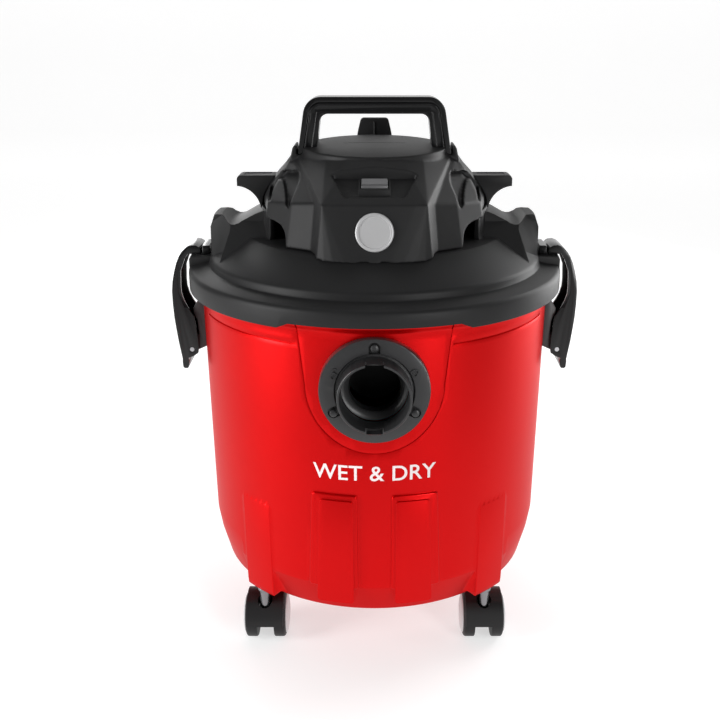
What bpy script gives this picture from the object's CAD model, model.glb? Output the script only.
"""Looks of a wet-and-dry shop vacuum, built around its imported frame.

Every piece is modelled about the tank's own axis and moved back by AXIS_Y when it is finished.
"""

import math

import bpy
from mathutils import Matrix, Vector


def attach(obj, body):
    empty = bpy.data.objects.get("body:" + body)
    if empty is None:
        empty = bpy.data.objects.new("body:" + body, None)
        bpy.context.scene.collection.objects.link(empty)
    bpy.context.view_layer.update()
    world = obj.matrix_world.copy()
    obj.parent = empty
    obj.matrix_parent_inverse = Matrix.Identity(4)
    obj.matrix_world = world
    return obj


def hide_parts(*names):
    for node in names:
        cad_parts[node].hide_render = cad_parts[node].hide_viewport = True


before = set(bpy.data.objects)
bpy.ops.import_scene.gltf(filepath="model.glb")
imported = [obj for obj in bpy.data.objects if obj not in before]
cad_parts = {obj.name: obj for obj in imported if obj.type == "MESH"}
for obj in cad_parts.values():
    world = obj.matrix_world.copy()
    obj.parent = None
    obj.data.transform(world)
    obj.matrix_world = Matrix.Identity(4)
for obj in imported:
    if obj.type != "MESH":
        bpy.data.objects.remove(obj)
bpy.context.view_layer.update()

MM = 0.001
AXIS_Y = 5 * MM
ROUND_STEPS = 160
SMALL_STEPS = 48

TANK_BASE = 62.0
BAND_TOP = 88.0
TANK_TOP = 322.0
PORT_HEIGHT = 267.0
PORT_FACE = -159.0
CASTER_X = 99.0
CASTER_Y = 101.0
CASTER_TRAIL = 10.5
WHEEL_RADIUS = 21.0
CLIP_PIVOT = (167.2, 252.0)
PORT_SCREW_ANGLES = (90, -28, 208)
TANK_FLOOR = 66.0
WALL_FOOT = 152.0
WALL_HEAD = 154.0
WALL_HEIGHT = 224.0
STEM_BORE = 4.9
AXLE_BORE = 2.7
PIN_BORE = 2.1
LID_FLAT = 361.3
COLLAR_TOP = 384.8
SCOOP_DEPTH = 2.9
BADGE_PLACE = (0, -112.9, 381)
LETTERING_BASE = 188.6
LETTERING_SIZE = 18.6
SIDES = (-1, 1)

CAMERA_DISTANCE = 0.8148
CAMERA_HEIGHT = 0.5286
CAMERA_TILT = 19.73
CAMERA_LENS = 46.15
CAMERA_SHIFT = -0.0201389


# ---------------------------------------------------------------- hand tools

def put_down():
    """Leaves edit mode with nothing selected."""
    if bpy.context.object and bpy.context.object.mode != "OBJECT":
        bpy.ops.object.mode_set(mode="OBJECT")
    bpy.ops.object.select_all(action="DESELECT")


def hold(piece):
    put_down()
    bpy.context.view_layer.objects.active = piece
    piece.select_set(True)


def open_mesh(piece, picked=True):
    hold(piece)
    bpy.ops.object.mode_set(mode="EDIT")
    bpy.ops.mesh.select_mode(type="VERT")
    bpy.ops.mesh.select_all(action="SELECT" if picked else "DESELECT")


def start_point(name, place):
    """A small plane merged to one corner, from which an outline is drawn."""
    put_down()
    bpy.ops.mesh.primitive_plane_add(size=MM, location=(0, 0, 0), enter_editmode=True)
    bpy.ops.mesh.select_mode(type="VERT")
    bpy.ops.mesh.select_all(action="SELECT")
    bpy.ops.mesh.merge(type="CENTER")
    bpy.ops.transform.translate(value=place)
    piece = bpy.context.object
    piece.name = name
    return piece


def draw_line(points):
    """Extrudes the picked corner along a line of points."""
    for here, there in zip(points, points[1:]):
        step = Vector(there) - Vector(here)
        bpy.ops.mesh.extrude_region_move(TRANSFORM_OT_translate={"value": step})


def tidy_mesh(piece, merge=1e-6):
    bpy.ops.mesh.select_all(action="SELECT")
    bpy.ops.mesh.remove_doubles(threshold=merge)
    bpy.ops.mesh.delete_loose()
    bpy.ops.mesh.select_all(action="SELECT")
    bpy.ops.mesh.normals_make_consistent(inside=False)
    put_down()
    return piece


def turned(name, outline, steps=ROUND_STEPS, closed=True):
    """A turned piece from (radius, height) points in millimetres; an open outline ends on the axis."""
    points = [Vector((radius * MM, 0, height * MM)) for radius, height in outline]
    piece = start_point(name, points[0])
    draw_line(points)
    bpy.ops.mesh.select_all(action="SELECT")
    if closed:
        bpy.ops.mesh.edge_face_add()
        bpy.ops.mesh.delete(type="ONLY_FACE")
        bpy.ops.mesh.select_all(action="SELECT")
    bpy.ops.mesh.spin(steps=steps, angle=math.tau, center=(0, 0, 0), axis=(0, 0, 1))
    return tidy_mesh(piece)


def swept(name, outline, centre_deg, half_deg, steps=24):
    """Part of a turned piece, centred on an angle measured from +X towards +Y."""
    points = [Vector((radius * MM, 0, height * MM)) for radius, height in outline]
    piece = start_point(name, points[0])
    draw_line(points)
    bpy.ops.mesh.select_all(action="SELECT")
    bpy.ops.mesh.edge_face_add()
    bpy.ops.mesh.spin(steps=steps, angle=math.radians(2 * half_deg), center=(0, 0, 0), axis=(0, 0, 1))
    tidy_mesh(piece)
    middle = sum((corner.co for corner in piece.data.vertices), Vector())
    turn = math.radians(centre_deg) - math.atan2(middle.y, middle.x)
    piece.data.transform(Matrix.Rotation(turn, 4, "Z"))
    return piece


def pushed(name, outline, low, high, across="Y"):
    """A flat outline pushed through: (x, z) across Y, (y, z) across X, (x, y) across Z."""
    def at(first, second, depth):
        order = {"Y": (first, depth, second), "X": (depth, first, second), "Z": (first, second, depth)}
        return Vector(order[across]) * MM

    points = [at(first, second, low) for first, second in outline]
    piece = start_point(name, points[0])
    draw_line(points)
    bpy.ops.mesh.select_all(action="SELECT")
    bpy.ops.mesh.edge_face_add()
    bpy.ops.mesh.extrude_region_move(TRANSFORM_OT_translate={"value": at(0, 0, high - low)})
    return tidy_mesh(piece)


def wedge(name, points):
    """The tight skin round a few corners."""
    corners = [Vector(point) * MM for point in points]
    piece = start_point(name, corners[0])
    draw_line(corners)
    bpy.ops.mesh.select_all(action="SELECT")
    bpy.ops.mesh.convex_hull()
    return tidy_mesh(piece)


def block(name, low, high):
    outline = [(low[0], low[1]), (high[0], low[1]), (high[0], high[1]), (low[0], high[1])]
    return pushed(name, outline, low[2], high[2], "Z")


def moved(piece, place):
    piece.data.transform(Matrix.Translation(Vector(place) * MM))
    return piece


def turned_to(piece, axis):
    """Turns a piece made about Z so that its axis lies along X or Y."""
    way = "X" if axis == "Y" else "Y"
    piece.data.transform(Matrix.Rotation(math.radians(90), 4, way))
    return piece


def rotated(piece, degrees, axis="Z", centre=(0, 0, 0)):
    middle = Matrix.Translation(Vector(centre) * MM)
    turn = Matrix.Rotation(math.radians(degrees), 4, axis)
    piece.data.transform(middle @ turn @ middle.inverted())
    return piece


def rod(name, radius, length, place, axis="Z", steps=SMALL_STEPS, edge=0.0):
    half = length / 2
    outline = [(0, -half), (radius - edge, -half), (radius, -half + edge)]
    outline += [(radius, half - edge), (radius - edge, half), (0, half)]
    if not edge:
        outline = [(0, -half), (radius, -half), (radius, half), (0, half)]
    piece = turned(name, outline, steps, closed=False)
    if axis != "Z":
        turned_to(piece, axis)
    return moved(piece, place)


def twin(piece, name):
    """A copy with its own mesh."""
    copy = piece.copy()
    copy.data = piece.data.copy()
    copy.name = name
    bpy.context.scene.collection.objects.link(copy)
    return copy


def mirror_x(piece, name):
    """The same piece on the other side, with its faces turned out again."""
    other = twin(piece, name)
    other.data.transform(Matrix.Diagonal((-1, 1, 1, 1)))
    open_mesh(other)
    bpy.ops.mesh.flip_normals()
    put_down()
    return other


def finish_step(piece, kind, **settings):
    hold(piece)
    step = piece.modifiers.new(kind.title(), kind)
    for setting, value in settings.items():
        setattr(step, setting, value)
    bpy.ops.object.modifier_apply(modifier=step.name)
    return piece


def use_tools(piece, operation, tools):
    for tool in tools:
        finish_step(piece, "BOOLEAN", operation=operation, object=tool, solver="EXACT")
        bpy.data.objects.remove(tool, do_unlink=True)
    return piece


def carve(piece, *tools):
    return use_tools(piece, "DIFFERENCE", tools)


def weld(piece, *tools):
    return use_tools(piece, "UNION", tools)


def keep_inside(piece, *tools):
    return use_tools(piece, "INTERSECT", tools)


def soften(piece, width, steps=2, angle=32):
    """Rounds the edges that are sharper than an angle."""
    return finish_step(piece, "BEVEL", width=width * MM, segments=steps, limit_method="ANGLE",
                       angle_limit=math.radians(angle), use_clamp_overlap=True)


def melt(piece, cell, rounds, share=0.5):
    """Closes a welded shape to one even skin whose inner and outer corners run together."""
    finish_step(piece, "REMESH", mode="VOXEL", voxel_size=cell * MM)
    finish_step(piece, "SMOOTH", factor=0.5, iterations=rounds)
    finish_step(piece, "DECIMATE", ratio=share)
    return piece


def arc(centre, radius, start_deg, end_deg, steps):
    points = []
    for step in range(steps + 1):
        angle = math.radians(start_deg + (end_deg - start_deg) * step / steps)
        points.append((centre[0] + radius * math.cos(angle), centre[1] + radius * math.sin(angle)))
    return points


def rounded(points, radius, steps=5):
    """An outline whose corners are drawn as small arcs."""
    made = []
    count = len(points)
    for index in range(count):
        here = Vector(points[index])
        back = (Vector(points[index - 1]) - here)
        ahead = (Vector(points[(index + 1) % count]) - here)
        reach = min(radius, back.length * 0.45, ahead.length * 0.45)
        start = here + back.normalized() * reach
        end = here + ahead.normalized() * reach
        for step in range(steps + 1):
            t = step / steps
            point = start * (1 - t) ** 2 + here * 2 * t * (1 - t) + end * t ** 2
            made.append((point.x, point.y))
    return made


def flipped(points, side):
    """An (x, z) outline on the right or on the left side of the object."""
    return [(side * first, second) for first, second in points]


def settle(piece, body, look, slot, *stands_for, angle=35):
    """Moves a finished piece back to its place in the frame and hangs it on its body."""
    moved(piece, (0, AXIS_Y / MM, 0))
    piece.data.materials.clear()
    piece.data.materials.append(look)
    hold(piece)
    bpy.ops.object.shade_smooth_by_angle(angle=math.radians(angle))
    put_down()
    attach(piece, body)
    if stands_for:
        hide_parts(*stands_for)
    return piece


# ---------------------------------------------------------------- shader tools

class Value:
    """A number socket that can be used in plain sums."""

    def __init__(self, recipe, socket):
        self.recipe = recipe
        self.socket = socket

    def maths(self, operation, *terms):
        return self.recipe.node("ShaderNodeMath", {"operation": operation}, *terms)

    def __add__(self, other):
        return self.maths("ADD", self, other)

    def __mul__(self, other):
        return self.maths("MULTIPLY", self, other)

    __radd__ = __add__
    __rmul__ = __mul__


def set_stops(elements, stops):
    """Places the grey stops of a ramp, which starts out with two."""
    for index, (place, shade) in enumerate(stops):
        stop = elements[index] if index < 2 else elements.new(place)
        stop.position = place
        stop.color = (shade, shade, shade, 1)


class Recipe:
    """One material and the nodes that make its finish."""

    def __init__(self, name, colour, **even):
        self.material = bpy.data.materials.new(name)
        self.material.use_nodes = True
        self.tree = self.material.node_tree
        self.shader = self.tree.nodes["Principled BSDF"]
        self.shader.inputs["Base Color"].default_value = (*colour, 1.0)
        self.material.diffuse_color = (*colour, 1.0)
        for socket, value in even.items():
            self.shader.inputs[socket.replace("_", " ")].default_value = value

    def feed(self, socket, value):
        if isinstance(value, Value):
            self.tree.links.new(value.socket, socket)
        else:
            socket.default_value = value

    def node(self, kind, settings=None, *values, out=0, **named):
        """Any node, by its type, its settings and what goes into its sockets."""
        made = self.tree.nodes.new(kind)
        for setting, value in (settings or {}).items():
            if setting == "stops":
                set_stops(made.color_ramp.elements, value)
            else:
                setattr(made, setting, value)
        for socket, value in zip(made.inputs, values):
            self.feed(socket, value)
        for socket, value in named.items():
            self.feed(made.inputs[socket.replace("_", " ")], value)
        return Value(self, made.outputs[out])

    def place(self):
        """Object coordinates."""
        return self.node("ShaderNodeTexCoord", None, out=3)

    def noise(self, scale, detail=2.0, stretch=(1, 1, 1)):
        spot = self.node("ShaderNodeMapping", None, Vector=self.place(), Scale=stretch)
        return self.node("ShaderNodeTexNoise", None, Vector=spot, Scale=scale, Detail=detail)

    def ramp(self, value, *stops):
        return self.node("ShaderNodeValToRGB", {"stops": stops}, value)

    def blend(self, share, first, second):
        mix = self.tree.nodes.new("ShaderNodeMix")
        mix.data_type = "RGBA"
        self.feed(mix.inputs[0], share)
        self.feed(mix.inputs[6], first)
        self.feed(mix.inputs[7], second)
        return Value(self, mix.outputs[2])

    def bump(self, height, strength, depth):
        return self.node("ShaderNodeBump", None, Strength=strength, Distance=depth, Height=height)

    def set(self, socket, value):
        self.feed(self.shader.inputs[socket], value)


def tinted(colour, factor):
    return tuple(min(channel * factor, 1.0) for channel in colour) + (1.0,)


def moulded(name, colour, roughness, grain, depth, spread=0.12, **even):
    """Moulded plastic: a fine even grain, faint flow marks, and gloss that wanders a little."""
    recipe = Recipe(name, colour, **even)
    fine = recipe.noise(grain, 3.0)
    cloud = recipe.noise(14.0, 3.0)
    scuff = recipe.ramp(recipe.noise(420.0, 6.0, (1, 1, 0.25)), (0.62, 0.0), (0.8, 1.0))
    recipe.set("Base Color", recipe.blend(cloud * 0.8 + scuff * 0.08,
                                          tinted(colour, 1 - spread), tinted(colour, 1 + spread)))
    recipe.set("Roughness", cloud * 0.08 + scuff * 0.05 + (roughness - 0.05))
    recipe.set("Normal", recipe.bump(fine, 0.35, depth))
    return recipe.material


def metal(name, colour, roughness, stretch, depth, **even):
    """Bare metal with fine tool marks along one way and a few dull patches."""
    recipe = Recipe(name, colour, Metallic=1.0, **even)
    marks = recipe.noise(700.0, 3.0, stretch)
    patch = recipe.noise(35.0, 4.0)
    recipe.set("Base Color", recipe.blend(patch * 0.7, tinted(colour, 0.88), tinted(colour, 1.05)))
    recipe.set("Roughness", patch * 0.12 + marks * 0.08 + (roughness - 0.08))
    recipe.set("Normal", recipe.bump(marks, 0.3, depth))
    return recipe.material


def windings():
    """Varnished copper wire wound round the core."""
    recipe = Recipe("varnished_windings", (0.5, 0.17, 0.06), Metallic=0.9)
    strands = recipe.node("ShaderNodeTexWave", {"wave_type": "BANDS", "bands_direction": "Z"},
                          Vector=recipe.place(), Scale=260.0, Distortion=1.2, Detail=1.0)
    tone = recipe.noise(90.0, 3.0)
    recipe.set("Base Color", recipe.blend(tone, (0.32, 0.09, 0.03, 1), (0.72, 0.28, 0.1, 1)))
    recipe.set("Roughness", tone * 0.2 + 0.25)
    recipe.set("Normal", recipe.bump(strands, 0.6, 0.0003))
    return recipe.material


def open_foam():
    """Coarse open foam."""
    recipe = Recipe("open_foam", (0.035, 0.035, 0.04))
    cells = recipe.node("ShaderNodeTexVoronoi", {"feature": "F1"}, Vector=recipe.place(), Scale=420.0)
    recipe.set("Base Color", recipe.blend(cells, (0.012, 0.012, 0.014, 1), (0.09, 0.09, 0.1, 1)))
    recipe.set("Roughness", cells * 0.1 + 0.85)
    recipe.set("Normal", recipe.bump(cells, 0.9, 0.0012))
    return recipe.material


RED = moulded("satin_red_plastic", (0.6, 0.0016, 0.0024), 0.36, 2600.0, 0.00003, 0.05,
              Metallic=0.7, Specular_IOR_Level=0.15, Specular_Tint=(0.7, 0.01, 0.012, 1),
              Coat_Weight=0.15, Coat_Roughness=0.26)
DARK = moulded("dark_moulded_plastic", (0.012, 0.012, 0.0124), 0.52, 1900.0, 0.00006,
               Specular_IOR_Level=0.24)
PORT_DARK = moulded("port_moulded_plastic", (0.026, 0.026, 0.027), 0.36, 1900.0, 0.00004)
GLOSS = moulded("polished_black_plastic", (0.006, 0.006, 0.0065), 0.24, 900.0, 0.00001,
                Specular_IOR_Level=0.35, Coat_Weight=0.2)
GREY = moulded("grey_moulded_plastic", (0.035, 0.035, 0.036), 0.4, 1900.0, 0.00004)
RUBBER = moulded("soft_rubber", (0.016, 0.016, 0.017), 0.78, 1300.0, 0.0001)
SILVER = moulded("silver_painted_plastic", (0.2, 0.2, 0.205), 0.4, 2400.0, 0.00002, 0.06, Metallic=0.7)
BADGE = moulded("pale_silver_print", (0.5, 0.5, 0.505), 0.4, 2400.0, 0.00002, 0.05, Metallic=0.3)
WHEEL = moulded("wheel_tread_plastic", (0.009, 0.009, 0.0095), 0.5, 1900.0, 0.00005,
                Specular_IOR_Level=0.3)
DISC = moulded("wheel_disc_plastic", (0.5, 0.5, 0.505), 0.36, 1900.0, 0.00003, 0.06)
CARBON = moulded("pressed_carbon", (0.025, 0.025, 0.027), 0.62, 2800.0, 0.00008)
WHITE = moulded("white_moulded_plastic", (0.78, 0.77, 0.74), 0.38, 1500.0, 0.00004, 0.05)
PRINT = moulded("white_print", (0.86, 0.78, 0.78), 0.4, 2400.0, 0.00001, 0.04)
STEEL = metal("brushed_steel", (0.6, 0.6, 0.62), 0.3, (1, 1, 0.05), 0.00003)
CHROME = metal("plated_steel", (0.27, 0.27, 0.28), 0.2, (0.1, 0.1, 1), 0.00001)
COPPER = windings()
FOAM = open_foam()

CAD_LOOKS = {
    "inlet_deflector": DARK, "lid_gasket": RUBBER, "cable_gland": RUBBER,
    "fan_housing": STEEL, "impeller": STEEL, "motor_stator": STEEL, "motor_bracket": STEEL,
    "bearing_upper": CHROME, "bearing_lower": CHROME, "armature": COPPER,
    "carbon_brush_left": CARBON, "carbon_brush_right": CARBON,
    "float_cage": GREY, "float_ball": WHITE, "filter_sleeve": FOAM,
    "latch_pin_left": STEEL, "latch_pin_right": STEEL,
}


def dress_frame():
    """Gives the carried-over frame nodes their finishes."""
    for node, look in CAD_LOOKS.items():
        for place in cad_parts[node].material_slots:
            place.material = look
    for node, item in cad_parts.items():
        if node.startswith("caster_axle"):
            item.material_slots[0].material = STEEL


# ---------------------------------------------------------------- tank

def wall_radius(height, proud=0.0):
    """Radius of the slightly tapered wall at a height above its base band."""
    return WALL_FOOT + (WALL_HEAD - WALL_FOOT) * (height - BAND_TOP) / WALL_HEIGHT + proud


def ring(name, low, high, inner, proud):
    """A thick-walled tube that follows the wall, used to trim pieces to it."""
    foot, head = wall_radius(low, proud), wall_radius(high, proud)
    return turned(name, [(inner, low), (foot, low), (head, high), (inner, high)], ROUND_STEPS)


def make_tank():
    outer = [(0, TANK_BASE), (142.2, TANK_BASE), (143.8, 62.5), (144.6, 63.8)]
    outer += [(151.4, 86.6), (151.8, 87.6), (152.0, 88.8)]
    outer += [(wall_radius(height), height) for height in range(96, 308, 10)]
    outer += [(154.0, 311.5), (154.6, 313.2)]
    outer += [(158.6, 316.2), (159.5, 317.2), (159.5, 321.4), (158.9, TANK_TOP)]
    inner = [(153.6, TANK_TOP), (153.0, 321.4), (151.0, 312), (147.0, 108), (137.0, 70)]
    inner += [(134.6, TANK_FLOOR), (0, TANK_FLOOR)]
    tank = turned("tank_body", outer + inner, ROUND_STEPS, closed=False)
    for side in SIDES:
        carve(tank, make_side_undercut(side))
        weld(tank, make_pad(side, 13.6, 51.4, 175.0, 87.4, 2.1),
             make_pad(side, 17.2, 44.6, 170.5, 74.5, 4.0))
        for end in SIDES:
            weld(tank, make_leg(side, end), make_boss(side, end))
            weld(tank, make_gusset(side, end))
    for side in SIDES:
        for end in SIDES:
            carve(tank, rod("socket", STEM_BORE, 32, (side * CASTER_X, end * CASTER_Y, 71)))
    carve(tank, rod("port_hole", 31.6, 40, (0, -154, PORT_HEIGHT), "Y", 96))
    carve(tank, make_shield_groove())
    for centre in (-45.2, -134.8):
        carve(tank, make_rim_groove(centre))
    soften(tank, 0.5, 2, 40)
    return settle(tank, "tank", RED, "red_plastic", "tank")


def make_side_undercut(side):
    """The long slanted cut between the front and the rear leg."""
    outline = [(153.4, 106), (152.3, 103.5), (149.6, 86), (142.8, 60), (163, 60), (163, 106)]
    return swept("side_undercut", outline, 0 if side > 0 else 180, 39, 40)


def make_pad(side, near, far, top, bottom, rise):
    """A raised stiffening pad with rounded corners, wider towards its foot."""
    outline = [(near, bottom), (near + 0.4, top), (far, top), (far + 3.6, bottom)]
    pad = pushed("pad", flipped(rounded(outline, 3.2), side), -165, -138)
    keep_inside(pad, ring("pad_ring", bottom - 4, top + 4, 140, rise))
    return soften(pad, 1.1, 3, 25)


def make_leg(side, end):
    """The wall runs straight down to the base over each caster."""
    outline = [
        (150.6, 152.0), (152.7, 150.0), (wall_radius(96, 0.5), 96), (152.0, 66), (151.4, 60.5),
        (131, 60.5), (131, 66), (143.0, 66), (149.6, 90),
    ]
    angle = math.degrees(math.atan2(end * 111.6, side * 100))
    leg = swept("leg", outline, angle, 6.4)
    return soften(leg, 0.8, 2, 40)


def make_gusset(side, end):
    """The small slanted web from the leg's edge to the base band."""
    corners = []
    corner_places = [
        (10.0, 151.7, 88), (8.5, 151.9, 90), (8.5, 151.6, 63), (12.6, 144.6, 66),
        (8.5, 140, 63), (8.5, 148, 88), (12.6, 140.0, 66),
    ]
    for degrees, radius, height in corner_places:
        angle = math.atan2(end, side) + side * end * math.radians(degrees)
        corners.append((radius * math.cos(angle), radius * math.sin(angle), height))
    return wedge("gusset", corners)


def make_boss(side, end):
    return rod("boss", 10.3, 30, (side * 95, end * 97, 76), edge=0.8)


def make_shield_groove():
    """The fine groove that runs round the hose port in a U, from the lid down and back up."""
    def line(radius, out):
        low = arc((0, PORT_HEIGHT), radius, 180, 360, 40)
        return [(-60.9 - out, 326)] + low + [(60.9 + out, 326)]

    outside = line(55.1, 0.5)
    inside = line(54.1, -0.5)
    groove = pushed("groove", outside + list(reversed(inside)), -170, -120)
    return carve(groove, ring("groove_floor", 190, 330, 100, -0.7))


def make_rim_groove(centre):
    """The step below the lid on either side of the shield."""
    outline = [(152.9, 299.9), (156, 299.3), (156, 301.3), (153.1, 301.3)]
    return swept("rim_groove", outline, centre, 21.5)


# ---------------------------------------------------------------- hose port

def screw_place(angle, radius=35.8):
    turn = math.radians(angle)
    return radius * math.cos(turn), PORT_HEIGHT + radius * math.sin(turn)


def make_port():
    outline = [
        (26.5, 174.4), (26.9, 175), (28.2, 175), (28.6, 174.6), (28.6, 157.2), (30.2, 156.8),
        (30.6, 157.4), (30.9, 158.6), (31.4, 159), (41.3, 159), (42.6, 158.5), (43.2, 157.4),
        (43.3, 156.4), (43.3, 130), (26.5, 130),
    ]
    port = moved(turned_to(turned("inlet_port_body", outline, 120), "Y"), (0, 0, PORT_HEIGHT))
    wall = [(80, 200), (wall_radius(200, 0.5), 200), (wall_radius(330, 0.5), 330), (80, 330)]
    carve(port, turned("port_back", wall, ROUND_STEPS))
    for angle in PORT_SCREW_ANGLES:
        x, z = screw_place(angle)
        x2, z2 = screw_place(angle, 31)
        slot = [(-4.4, 0), (-4.4, 6), (4.4, 6), (4.4, 0)]
        pocket = weld(rod("pocket", 4.4, 6, (x, PORT_FACE, z), "Y"),
                      moved(rotated(pushed("slot", slot, -3, 3), 90 - angle, "Y"), (x2, PORT_FACE, z2)))
        carve(port, pocket)
    for end in SIDES:
        z = PORT_HEIGHT + end * 26.5
        carve(port, block("notch", (-7, -180, z - 1.4), (7, -168, z + 1.4)))
    soften(port, 0.35, 2, 35)
    return settle(port, "tank", PORT_DARK, "black_plastic", "inlet_port")


def make_port_step():
    """The inner step of the sleeve, seen in the dark of the bore."""
    outline = [(26.1, 152.0), (24.6, 151.6), (21.2, 148.6), (20.9, 147.9), (23.6, 147.9), (26.1, 150.4)]
    step = moved(turned_to(turned("inlet_port_step", outline, 96), "Y"), (0, 0, PORT_HEIGHT))
    return settle(step, "tank", PORT_DARK, "black_plastic")


def make_port_screw(number, angle):
    x, z = screw_place(angle)
    outline = [(0, 0.9), (1.5, 0.9), (1.8, 0.1), (2.6, 0.2), (2.9, 0.8), (2.9, 2.2), (2.1, 2.7), (0, 2.7)]
    head = turned("screw", outline, 32, closed=False)
    for turn in (0, 90):
        carve(head, rotated(block("cross", (-2.0, -0.35, -1), (2.0, 0.35, 1.2)), turn + 20))
    screw = moved(turned_to(head, "Y"), (x, PORT_FACE + 0.2, z))
    screw.name = f"inlet_screw_body_{number}"
    return settle(screw, "tank", PORT_DARK, "steel", f"inlet_screw_{number}")


def make_lock_marks():
    """Raised padlock signs on the flange: shut on the right, open on the left."""
    for word, side in (("shut", 1), ("open", -1)):
        x, z = screw_place(28 if side > 0 else 156, 35.4)
        body = [(-2.8, -3.2), (2.8, -3.2), (2.8, 0.4), (-2.8, 0.4)]
        mark = pushed(f"lock_mark_{word}", rounded(body, 0.6), PORT_FACE - 0.45, PORT_FACE + 0.4)
        carve(mark, pushed("hollow", [(-2.1, -2.5), (2.1, -2.5), (2.1, -0.3), (-2.1, -0.3)], -170, -150))
        bow = arc((0, 0.2), 2.3, 0, 180, 14) + arc((0, 0.2), 1.6, 180, 0, 14)
        hoop = pushed("hoop", bow, PORT_FACE - 0.45, PORT_FACE + 0.4)
        weld(mark, moved(hoop, (0 if side > 0 else 3.6, 0, 0.1)))
        rotated(mark, side * 50, "Y")
        moved(mark, (x, -0.5, z))
        settle(mark, "tank", PORT_DARK, "black_plastic")


# ---------------------------------------------------------------- lid

def make_lid():
    outer = [
        (165, 315.6), (165, 328.2), (164.7, 330.2), (163.6, 331.9), (161.8, 333.0), (149.4, 334.7),
        (147.2, 335.4), (146.3, 336.6), (146.0, 339.4), (145.3, 341.2), (143.6, 342.4), (141, 343.9),
        (112.6, 360.6), (110.6, 361), (42, 361),
    ]
    inner = [
        (42, 358), (110, 358), (141, 339), (142, 330), (158, 328), (162, 325), (162, 315), (164.4, 315),
    ]
    lid = turned("lid_body", outer + inner, ROUND_STEPS)
    fin = make_fin()
    weld(lid, mirror_x(fin, "fin_left"), fin, make_rim_block(-1), make_rim_block(1))
    weld(lid, make_tower())
    notch = [(-76, 300), (-74.5, 315.4), (-65.5, 319.6), (65.5, 319.6), (74.5, 315.4), (76, 300)]
    carve(lid, pushed("port_notch", notch, -175, -120))
    soften(lid, 0.6, 2, 38)
    return settle(lid, "head", DARK, "black_plastic", "lid")


def make_fin():
    """The right-hand fin and saddle beside the motor cover, with two slanted facets at each end."""
    outline = [
        (97, 350), (97, 383), (106, 379.6), (113, 375.6), (120, 371.6), (124, 370.4), (127, 370.6),
        (129.4, 372.6), (131.8, 376.4), (133.2, 377.4), (139, 377.4), (140.6, 376.2), (142.6, 370.5),
        (144.3, 366), (144.3, 338), (139, 341), (112, 358),
    ]
    fin = swept("fin_right", outline, 0, 25, 36)
    facet = [
        (142.5, 22, 350), (124, 34, 365), (142, 14, 370), (122, 26, 384), (128, 43, 330), (144, 28, 330),
        (180, 20, 330), (180, 20, 400), (150, 80, 330), (150, 80, 400), (124, 80, 370),
    ]
    slope_ends = ((27, 373), (64, 335), (34, 400), (80, 335), (80, 400))
    slope = [(x, y, z) for y, z in slope_ends for x in (90, 150)]
    for end in SIDES:
        for points in (facet, slope):
            carve(fin, wedge("fin_end", [(x, end * y, z) for x, y, z in points]))
    top = [(90, 1, 386), (90, 60, 368), (160, 1, 379), (160, 60, 361)]
    top += [(x, y, 410) for x in (90, 160) for y in (1, 60)]
    carve(fin, wedge("fin_top", top))
    return soften(fin, 1.1, 3, 22)


def make_rim_block(side):
    """The thick part of the rim that the clip pulls down on."""
    outline = [(144, 336), (144.5, 340.5), (162.6, 340.5), (164.6, 338), (164.6, 326), (160, 330)]
    return soften(swept("rim_block", outline, 0 if side > 0 else 180, 7.6, 10), 0.6, 2, 25)


def make_tower():
    """The upright collar behind and beside the motor cover."""
    outline = [(95.5, 359), (100.4, 359), (99.2, 366), (98.9, 383.6), (98.2, 384.3), (95.5, 384.3)]
    return swept("tower", outline, 90, 118, 90)


# ---------------------------------------------------------------- motor cover

DOME = [
    (98.6, 384), (98.2, 388), (97.2, 392.4), (94.2, 398), (90, 404), (84, 412.5), (77, 420),
    (72.5, 426.0), (69.5, 428.4), (66.6, 429.4), (45, 430.0), (0, 430.5),
]
NOSE_FACE = [
    (0, -118.8, 354), (12, -118.4, 354), (22, -117.2, 354.4), (32, -114.8, 355), (40, -111.4, 355.6),
    (45.9, -107.6, 356.2), (51.8, -92, 358), (53, -40, 358),
    (0, -108.6, 401.2), (12, -108.5, 401.2), (22, -108.2, 401.1), (32, -107.7, 401), (41, -106.6, 401),
    (46.5, -92, 400), (66.5, -8, 428), (50.8, -35.6, 426), (39.9, -47.5, 427.6), (21.2, -58.3, 429),
    (0, -62, 429.6), (50, -8, 430),
]
NOSE_CHEEKS = [
    (50, -94, LID_FLAT), (71.2, -80.5, LID_FLAT), (93, -56, LID_FLAT), (98, -8, LID_FLAT),
    (46.5, -91, 399.4),
    (66, -77.5, 396.8), (88, -54, 394.5), (95.8, -8, 392.4), (90, -8, 403.6), (84, -8, 412),
    (77, -8, 419.8), (71.5, -8, 425), (66.5, -8, 427.6), (40, -40, 424),
]
MOTOR_ROOM = [(0, 370), (93, 370), (93, 388), (81, 402), (58, 421), (46, 426), (0, 426.6)]
NOSE_ROOM = [
    (38, -96, LID_FLAT), (60, -76, LID_FLAT), (86, -50, LID_FLAT), (90, -8, LID_FLAT),
    (36, -84, 390), (56, -66, 386), (80, -46, 384), (88, -8, 384),
]


def dome_outline(inset):
    """The dome's profile, drawn in by an inset and carried down inside the lid's collar."""
    outline = [(0, 377), (DOME[0][0] - inset, 377)]
    return outline + [(max(radius - inset, 0), height - inset) for radius, height in DOME]


def nose_points(corners, inset, drop):
    """Nose corners on both sides, drawn in by an inset; the low ones go down by a drop instead."""
    points = []
    for x, y, z in corners:
        shrink = 1 - inset / math.hypot(x, y)
        height = z - inset if z > 370 else z - drop
        points += [(x * shrink, y * shrink, height), (-x * shrink, y * shrink, height)]
    return points


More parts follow.
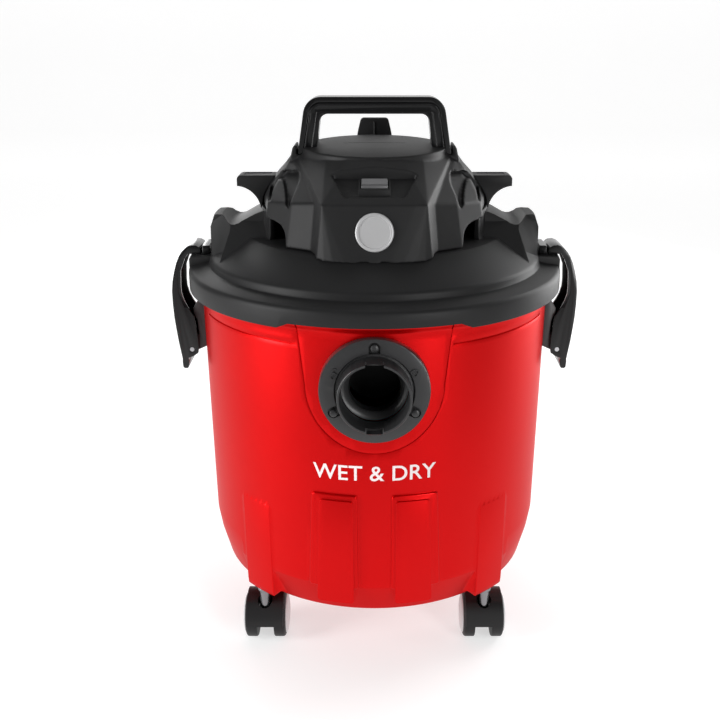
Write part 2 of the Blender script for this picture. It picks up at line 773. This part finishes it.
def cover_shape(inset, drop=0):
    """The cover's outside, or the same shape drawn in by an even amount."""
    shape = turned("cover_shape", dome_outline(inset), 120, closed=False)
    carve(shape, block("front_half", (-120, -120, 360), (120, -9.2, 450)))
    face = wedge("nose_face", nose_points(NOSE_FACE, inset, drop))
    cheeks = wedge("nose_cheeks", nose_points(NOSE_CHEEKS, inset, drop))
    if not inset:
        soften(face, 3.2, 4, 18)
        soften(cheeks, 1.6, 3, 18)
    return weld(shape, face, cheeks)


def make_motor_cover():
    cover = cover_shape(0)
    cover.name = "motor_cover"
    for side in SIDES:
        weld(cover, make_handle_cup(side))
        carve(cover, make_scoop(side), make_handle_hole(side))
    weld(cover, make_top_disc())
    carve(cover, make_switch_well())
    carve(cover, turned("dome_inside", MOTOR_ROOM, 96, closed=False),
          wedge("nose_inside", nose_points(NOSE_ROOM, 0, 6)), make_collar_gap(), make_lid_room())
    carve(cover, make_vent(-1), make_vent(1))
    melt(cover, 0.95, 4, 0.42)
    carve(cover, make_top_line())
    return settle(cover, "head", DARK, "black_plastic", "motor_housing", angle=60)


def make_top_disc():
    """The shallow disc between the handle's feet, leaning forward a little."""
    outline = [(0, 424), (62.4, 424), (62.4, 430.4), (61.4, 431.3), (45, 432.2), (25, 432.9), (0, 433.2)]
    disc = turned("top_disc", outline, 120, closed=False)
    return rotated(disc, 2.4, "X", (0, -62, 431))


def make_collar_gap():
    """The cover stops above the lid's collar, beside and behind the nose."""
    outline = [(60, 350), (112, 350), (112, COLLAR_TOP), (60, COLLAR_TOP)]
    return swept("collar_gap", outline, 90, 119.5, 90)


def make_lid_room():
    """The lid's flat and its cone, which the foot of the nose follows."""
    outline = [(0, 340), (143.3, 340), (143.3, 342.5), (112.2, LID_FLAT), (0, LID_FLAT)]
    return turned("lid_room", outline, 120, closed=False)


def make_vent(side):
    """The raised edge of the cover that lets the exhaust air out over the lid."""
    outline = [
        (71.6, 350), (72.2, 370), (73.2, 374.4), (76.4, 378.6), (84, 380.8), (108, 382.4), (108, 350),
    ]
    return pushed("vent", flipped(outline, side), -92, -40)


def make_scoop(side):
    """Two curved finger grooves that meet high on the shoulder, an even depth below the skin."""
    arch = [(85.4, 394), (88.4, 395), (89.2, 403), (86.2, 409.6), (78.4, 415), (63, 416.6), (62.4, 408.6),
            (66.8, 400), (68.4, 393), (71, 393.4), (72.6, 401.4), (76.6, 409), (81, 409), (85.4, 403)]
    groove = pushed("scoop", flipped(rounded(arch, 3.0), side), -130, -18)
    return carve(groove, cover_shape(SCOOP_DEPTH))


def make_handle_cup(side):
    """The thick rim round the handle's socket."""
    outline = [
        (46.5, 420), (72.5, 408), (72.4, 423.5), (70.2, 433.0), (68.6, 435.4), (66.6, 435.4),
        (66.8, 427.6), (46.5, 427.6),
    ]
    return soften(pushed("cup", flipped(outline, side), -14.6, 14.6), 0.9, 3, 30)


def make_handle_hole(side):
    outline = [(50.2, 408), (69.7, 408), (64.9, 440), (46.0, 440)]
    return pushed("hole", flipped(outline, side), -12.5, 12.5)


def make_switch_well():
    points = []
    for half, y, z in ((37, -70, 442), (34, -70, 413.5), (23.6, -100, 401), (24, -101.5, 442)):
        points += [(half, y, z), (-half, y, z)]
    return soften(wedge("well", points), 3.0, 4, 30)


def make_top_line():
    """The thin parting line across the top disc."""
    return block("line", (-27, 2.2, 434.9), (27, 3.2, 440))


def make_switch():
    tray_points = []
    floor_line = ((33.3, -70.4, 415.8), (33.3, -70.4, 413.6), (23.5, -99.5, 403.9), (23.5, -99.5, 401.6))
    for half, y, z in floor_line:
        tray_points += [(half, y, z), (-half, y, z)]
    tray = wedge("switch_tray_plate", tray_points)
    window = [(-92.6, 400), (-92.6, 420), (-79.4, 425), (-79.4, 400)]
    carve(tray, pushed("opening", window, -11, 11, "X"))
    frame_points = [(-94.2, 405.2), (-94.2, 410.6), (-93.0, 411.4), (-77.8, 416.4), (-77.8, 412.0)]
    bezel = pushed("bezel", frame_points, -12.6, 12.6, "X")
    carve(bezel, pushed("window", window, -11, 11, "X"))
    weld(tray, bezel)
    soften(tray, 0.4, 2, 35)
    settle(tray, "head", DARK, "gloss_black_plastic", "switch_tray")
    key = [(-91.0, 408.8), (-91.4, 413.2), (-86.3, 413.8), (-80.4, 417.6), (-80.4, 411)]
    rocker = pushed("switch_key", key, -10.3, 10.3, "X")
    soften(rocker, 0.5, 3, 8)
    settle(rocker, "rocker", SILVER, "silver_plastic", "switch_rocker")


# ---------------------------------------------------------------- handle, hooks, badge

def handle_band(depth):
    """The bent bar's outline at a depth in from its outer edge, from one foot to the other."""
    right = [(68.8 - depth, 409)] + arc((45.5, 460), 15 - depth, 8, 90, 10)
    return right + [(-x, z) for x, z in reversed(right)]


def make_handle():
    """A ribbed bar: a polished band outside, a parting groove and a broader inner face."""
    inner = [(52.2, 409)] + arc((39.2, 453.8), 7.4, 7, 90, 8)
    inside = inner + [(-x, z) for x, z in reversed(inner)]
    bar = pushed("handle_bar", handle_band(0) + list(reversed(inside)), -12, 12)
    for face in SIDES:
        for near, far, depth in ((4.4, 5.1, 1.2), (6.6, 11.2, 0.9)):
            strip = handle_band(near) + list(reversed(handle_band(far)))
            carve(bar, pushed("strip", strip, face * 12 - depth, face * 12 + depth))
    soften(bar, 0.6, 3, 40)
    return settle(bar, "head", GLOSS, "gloss_black_plastic", "handle")


def make_cord_hook(word, side):
    hollow = arc((121, 378.6), 22, 95, 172, 14)
    outline = [
        (96.5, 384.6), (88, 402), (84, 409.6), (116, 409.6), (118.2, 408.8), (119.2, 406.8), (119.2, 400.6),
    ]
    hook = pushed(f"cord_hook_body_{word}", flipped(outline + hollow, side), -11, 11)
    dip = [(90, 409.0), (113.5, 409.0), (113.5, 412), (90, 412)]
    carve(hook, pushed("top_dip", flipped(dip, side), -8, 8))
    carve(hook, turned("hook_seat", dome_outline(-0.1), 96, closed=False))
    soften(hook, 1.2, 3, 40)
    return settle(hook, "head", DARK, "black_plastic", f"cord_hook_{word}")


def make_rear_hook():
    outline = [(-17.4, 390), (17.4, 390), (16.4, 435), (12.8, 449.7), (-12.8, 449.7), (-16.4, 435)]
    hook = pushed("rear_hook_body", rounded(outline, 3), 80, 88)
    weld(hook, pushed("rib", [(79.0, 400), (79.0, 446), (83, 448), (83, 400)], -0.6, 0.6, "X"))
    carve(hook, turned("rear_seat", dome_outline(-0.1), 96, closed=False))
    soften(hook, 0.9, 3, 40)
    return settle(hook, "head", DARK, "black_plastic", "rear_hook")


def make_latch_catch(word, angle):
    outline = [(146.3, 340.8), (153.4, 340.8), (152.8, 348.6), (146.3, 348.6)]
    catch = swept(f"latch_catch_body_{word}", outline, angle, 5.5, 8)
    soften(catch, 0.8, 3, 30)
    return settle(catch, "head", GLOSS, "gloss_black_plastic", f"latch_catch_{word}")


def make_badge():
    """The plain round badge on the nose, leaning back with its face."""
    outline = [(0, 0), (15, 0), (15, 1.1), (14.6, 1.7), (13.9, 2.0), (12.6, 2.0), (12.2, 1.4), (0, 1.2)]
    badge = turned_to(turned("front_badge_disc", outline, 96, closed=False), "Y")
    rotated(badge, -math.degrees(math.atan2(9.4, 43.6)), "X")
    moved(badge, BADGE_PLACE)
    return settle(badge, "head", BADGE, "silver_plastic", "front_badge")


# ---------------------------------------------------------------- side clips

CLIP_BACK = [
    (153.9, 341.2), (153.8, 344.5), (155.0, 347.4), (157.5, 348.9), (161.5, 349.3), (164.6, 348.4),
    (167.4, 346.4), (170.6, 343.2), (173.4, 338.9), (176.2, 332.6), (178.5, 325), (180.6, 316),
    (181.6, 307), (181.7, 296), (181.2, 283), (180.2, 272), (178.9, 260), (176.5, 243.5),
]
CLIP_INSIDE = [
    (173.6, 243.5), (176.3, 262), (178.3, 285), (178.4, 306), (177.2, 316), (175.2, 324.5),
    (173.1, 330.6), (170.6, 336), (168.2, 339.4), (166, 341.5), (161, 341.3),
]
CLIP_CHEEK = [
    (160.6, 348.7), (167, 346.5), (173, 339.2), (178.2, 325.6), (181.3, 307), (181.2, 285),
    (179.1, 262), (175.8, 243.8), (171.6, 243.6), (166.5, 245.4), (161.8, 248.6), (161.0, 253),
    (161.2, 262), (162.4, 275), (163.8, 284), (168.2, 291.4), (171.3, 298), (173.2, 305),
    (173.4, 312), (172.6, 326), (168.4, 336.5), (165.6, 341),
]
CLIP_TAB = [
    (171.8, 247), (176.4, 246.2), (176.9, 240), (176.6, 235), (175.4, 233.5), (172.4, 233.5),
    (171.2, 235.4), (170.6, 240),
]
CLIP_DIP = [
    (166.5, 292), (171.5, 292), (176.2, 306), (176.0, 322), (173.6, 331), (174.4, 318), (173.8, 304),
]
BRACKET = [
    (150, 297), (160.4, 297), (164.6, 290.4), (164.6, 286), (161.5, 279), (160.8, 266),
    (171.2, 256.4), (172.2, 252.6), (171.2, 249.4), (168, 247.8), (150, 256),
]


def make_clip(word, side):
    wide = 15.0
    clip = pushed(f"latch_clip_body_{word}", flipped(CLIP_BACK + CLIP_INSIDE, side), -wide, wide)
    for end in SIDES:
        near, far = sorted((end * (wide - 0.05), end * (wide - 2.5)))
        weld(clip, pushed("cheek", flipped(CLIP_CHEEK, side), near, far))
    weld(clip, pushed("tab", flipped(CLIP_TAB, side), -wide + 1, wide - 1))
    for end in SIDES:
        near, far = sorted((end * 15.6, end * 14.5))
        carve(clip, pushed("cheek_dip", flipped(CLIP_DIP, side), near, far))
    carve(clip, rod("hole", PIN_BORE, 40, (side * CLIP_PIVOT[0], 0, CLIP_PIVOT[1]), "Y", 32))
    soften(clip, 0.8, 3, 33)
    return settle(clip, f"latch_{word}", GLOSS, "gloss_black_plastic", f"latch_clip_{word}")


def make_bracket(word, side):
    bracket = pushed(f"latch_bracket_body_{word}", flipped(BRACKET, side), -11, 11)
    wall = [(80, 240), (154.05, 240), (154.4, 310), (80, 310)]
    carve(bracket, turned("bracket_back", wall, 96))
    carve(bracket, rod("bore", PIN_BORE, 40, (side * CLIP_PIVOT[0], 0, CLIP_PIVOT[1]), "Y", 32))
    soften(bracket, 0.7, 3, 33)
    return settle(bracket, "tank", GREY, "grey_plastic", f"latch_bracket_{word}")


# ---------------------------------------------------------------- casters

def make_caster_hood():
    """The fork and mudguard, made once about its wheel's axle."""
    drum = arc((0, 0), 23.6, 178, -14, 40) + arc((0, 0), 22.0, -14, 178, 40)
    hood = pushed("hood", drum, -16.6, 16.6, "X")
    web = [(-13, -6)] + arc((0, 0), 22.6, 165, 8, 24) + [(12, -6)]
    weld(hood, pushed("web", web, -4.5, 4.5, "X"))
    weld(hood, rod("hood_boss", 7.4, 10, (0, -CASTER_TRAIL, 7.4), edge=0.8))
    carve(hood, rod("hood_bore", STEM_BORE, 30, (0, -CASTER_TRAIL, 26.7)))
    carve(hood, rod("stem_notch", 6.6, 20, (0, -CASTER_TRAIL, 22.6)))
    carve(hood, rod("axle_bore", AXLE_BORE, 60, (0, 0, 0), "X", 32))
    soften(hood, 0.7, 3, 35)
    return hood


def make_wheel():
    """One wheel about its axle: a tread, a shoulder and the seat of its disc."""
    outline = [
        (AXLE_BORE, 7.4), (18.6, 7.4), (20.4, 7.7), (21.0, 8.5), (21.0, 15.8), (20.6, 16.8), (19.6, 17.6),
        (17.8, 18.3), (17.4, 17.9), (AXLE_BORE, 17.9),
    ]
    return turned_to(turned("wheel", outline, 72), "X")


def make_wheel_disc():
    outline = [
        (0, 20.9), (5, 20.8), (10, 20.5), (14.2, 19.9), (16.6, 19.2), (17.3, 18.6), (17.4, 18.1),
        (17.2, 17.9), (3.2, 17.9), (3.0, 18.4), (0, 18.4),
    ]
    return turned_to(turned("disc", outline, 72, closed=False), "X")


def make_stem(side, end, label):
    outline = [
        (0, 33), (4.6, 33), (4.6, 52.4), (5.6, 53), (5.9, 54), (5.9, 56.2), (5.4, 57), (4.6, 57.6),
        (4.6, 84), (3.6, 86), (0, 86),
    ]
    stem = turned(f"caster_stem_body_{label}", outline, 40, closed=False)
    moved(stem, (side * CASTER_X, end * CASTER_Y, 0))
    settle(stem, f"caster_{label}", CHROME, "chrome", f"caster_stem_{label}")


def make_casters():
    hood, wheel, disc = make_caster_hood(), make_wheel(), make_wheel_disc()
    for end_word, end in (("front", -1), ("rear", 1)):
        for side_word, side in (("left", -1), ("right", 1)):
            label = f"{end_word}_{side_word}"
            place = (side * CASTER_X, end * CASTER_Y + CASTER_TRAIL, WHEEL_RADIUS)
            make_stem(side, end, label)
            guard = moved(twin(hood, f"caster_hood_body_{label}"), place)
            settle(guard, f"caster_{label}", WHEEL, "black_plastic", f"caster_hood_{label}")
            for half_word, half in (("left", -1), ("right", 1)):
                tyre = twin(wheel, f"wheel_tread_{half_word}_{label}")
                face = twin(disc, f"wheel_disc_{half_word}_{label}")
                if half < 0:
                    rotated(tyre, 180)
                    rotated(face, 180)
                settle(moved(tyre, place), f"wheels_{label}", WHEEL, "wheel_grey_plastic",
                       f"caster_wheel_{half_word}_{label}")
                settle(moved(face, place), f"wheels_{label}", DISC, "wheel_grey_plastic")
    for pattern in (hood, wheel, disc):
        bpy.data.objects.remove(pattern, do_unlink=True)


# ---------------------------------------------------------------- lettering

def make_lettering():
    """Plain words on the front of the tank, bent round its wall."""
    put_down()
    bpy.ops.object.text_add(location=(0, 0, 0))
    words = bpy.context.object
    words.name = "tank_lettering"
    words.data.body = "WET & DRY"
    words.data.align_x = "CENTER"
    words.data.size = LETTERING_SIZE * MM
    words.data.extrude = 0.12 * MM
    words.data.space_character = 1.02
    words.data.offset = 0.15 * MM
    bpy.ops.object.convert(target="MESH")
    words = bpy.context.object
    words.data.transform(Matrix.Rotation(math.radians(90), 4, "X"))
    open_mesh(words)
    bpy.ops.mesh.remove_doubles(threshold=1e-6)
    bpy.ops.mesh.subdivide(number_cuts=1)
    put_down()
    for corner in words.data.vertices:
        height = LETTERING_BASE + corner.co.z / MM
        reach = wall_radius(height, 0.1) * MM - corner.co.y
        angle = corner.co.x / (wall_radius(height) * MM)
        corner.co = (reach * math.sin(angle), -reach * math.cos(angle), height * MM)
    settle(words, "tank", PRINT, "white_plastic")


# ---------------------------------------------------------------- studio

def make_floor():
    """A pale floor that curves up far behind the object."""
    put_down()
    bpy.ops.mesh.primitive_plane_add(size=1, location=(0, 0, 0), enter_editmode=True)
    floor = bpy.context.object
    floor.name = "studio_floor"
    bpy.ops.mesh.select_all(action="SELECT")
    bpy.ops.transform.resize(value=(8, 7, 1))
    bpy.ops.transform.translate(value=(0, -0.5, 0))
    bpy.ops.mesh.select_all(action="DESELECT")
    put_down()
    for corner in floor.data.vertices:
        corner.select = corner.co.y > 0
    for edge in floor.data.edges:
        edge.select = all(floor.data.vertices[index].select for index in edge.vertices)
    hold(floor)
    bpy.ops.object.mode_set(mode="EDIT")
    for out, rise in ((0.35, 0.1), (0.35, 0.3), (0.1, 0.6), (0.1, 3.0)):
        bpy.ops.mesh.extrude_region_move(TRANSFORM_OT_translate={"value": (0, out, rise)})
    hold(floor)
    bpy.ops.object.shade_smooth()
    recipe = Recipe("studio_paper", (0.45, 0.45, 0.45), Roughness=0.95, Emission_Strength=0.8)
    fibre = recipe.noise(3.0)
    recipe.set("Base Color", recipe.blend(fibre, (0.44, 0.44, 0.44, 1), (0.46, 0.46, 0.46, 1)))
    gap = recipe.node("ShaderNodeVectorMath", {"operation": "LENGTH"}, recipe.place(), out=1)
    glow = recipe.ramp(gap, (0.1, 0.45), (0.22, 0.85), (0.4, 0.85), (0.75, 0.36))
    depth = recipe.node("ShaderNodeSeparateXYZ", None, recipe.place(), out=1)
    behind = recipe.ramp(depth + 0.3, (0.0, 0.0), (0.5, 1.0))
    recipe.set("Emission Color", recipe.blend(behind, glow, (1.0, 1.0, 1.0, 1)))
    floor.data.materials.append(recipe.material)


def make_light(name, azimuth, distance, height, width, tall, power, aim=0.22):
    """A soft box; azimuth 0 stands where the camera does and 90 to the right of the object."""
    turn = math.radians(azimuth)
    data = bpy.data.lights.new(name, "AREA")
    data.shape = "RECTANGLE"
    data.size = width
    data.size_y = tall
    data.energy = power
    lamp = bpy.data.objects.new(name, data)
    bpy.context.scene.collection.objects.link(lamp)
    lamp.location = (distance * math.sin(turn), -distance * math.cos(turn), height)
    away = lamp.location - Vector((0, 0, aim))
    lamp.rotation_euler = away.to_track_quat("Z", "Y").to_euler()


def make_studio():
    make_floor()
    world = bpy.data.worlds.new("studio_air")
    world.use_nodes = True
    air = world.node_tree.nodes["Background"].inputs
    air["Color"].default_value = (1, 1, 1, 1)
    air["Strength"].default_value = 0.09
    bpy.context.scene.world = world
    make_light("box_left", -64, 1.5, 0.5, 0.5, 1.3, 24)
    make_light("box_right", 34, 1.6, 0.5, 0.36, 1.3, 14)
    make_light("box_far_right", 122, 1.4, 0.5, 0.8, 1.3, 22)
    make_light("box_far_left", -156, 1.5, 0.6, 0.35, 1.3, 4)
    make_light("box_top", 180, 0.3, 2.0, 1.6, 1.2, 4)
    bpy.context.scene.view_settings.view_transform = "Standard"


def make_camera():
    data = bpy.data.cameras.new("camera")
    data.lens = CAMERA_LENS
    data.sensor_width = 36
    data.shift_x = CAMERA_SHIFT
    data.clip_start = 0.05
    camera = bpy.data.objects.new("camera", data)
    bpy.context.scene.collection.objects.link(camera)
    camera.location = (0, AXIS_Y - CAMERA_DISTANCE, CAMERA_HEIGHT)
    camera.rotation_euler = (math.radians(90 - CAMERA_TILT), 0, 0)
    bpy.context.scene.camera = camera


make_camera()
dress_frame()
make_tank()
make_port()
make_port_step()
for number, angle in enumerate(PORT_SCREW_ANGLES, start=1):
    make_port_screw(number, angle)
make_lock_marks()
make_lettering()
make_lid()
make_motor_cover()
make_switch()
make_handle()
make_rear_hook()
make_badge()
for word, side, angle in (("left", -1, 180), ("right", 1, 0)):
    make_cord_hook(word, side)
    make_latch_catch(word, angle)
    make_clip(word, side)
    make_bracket(word, side)
make_casters()
make_studio()
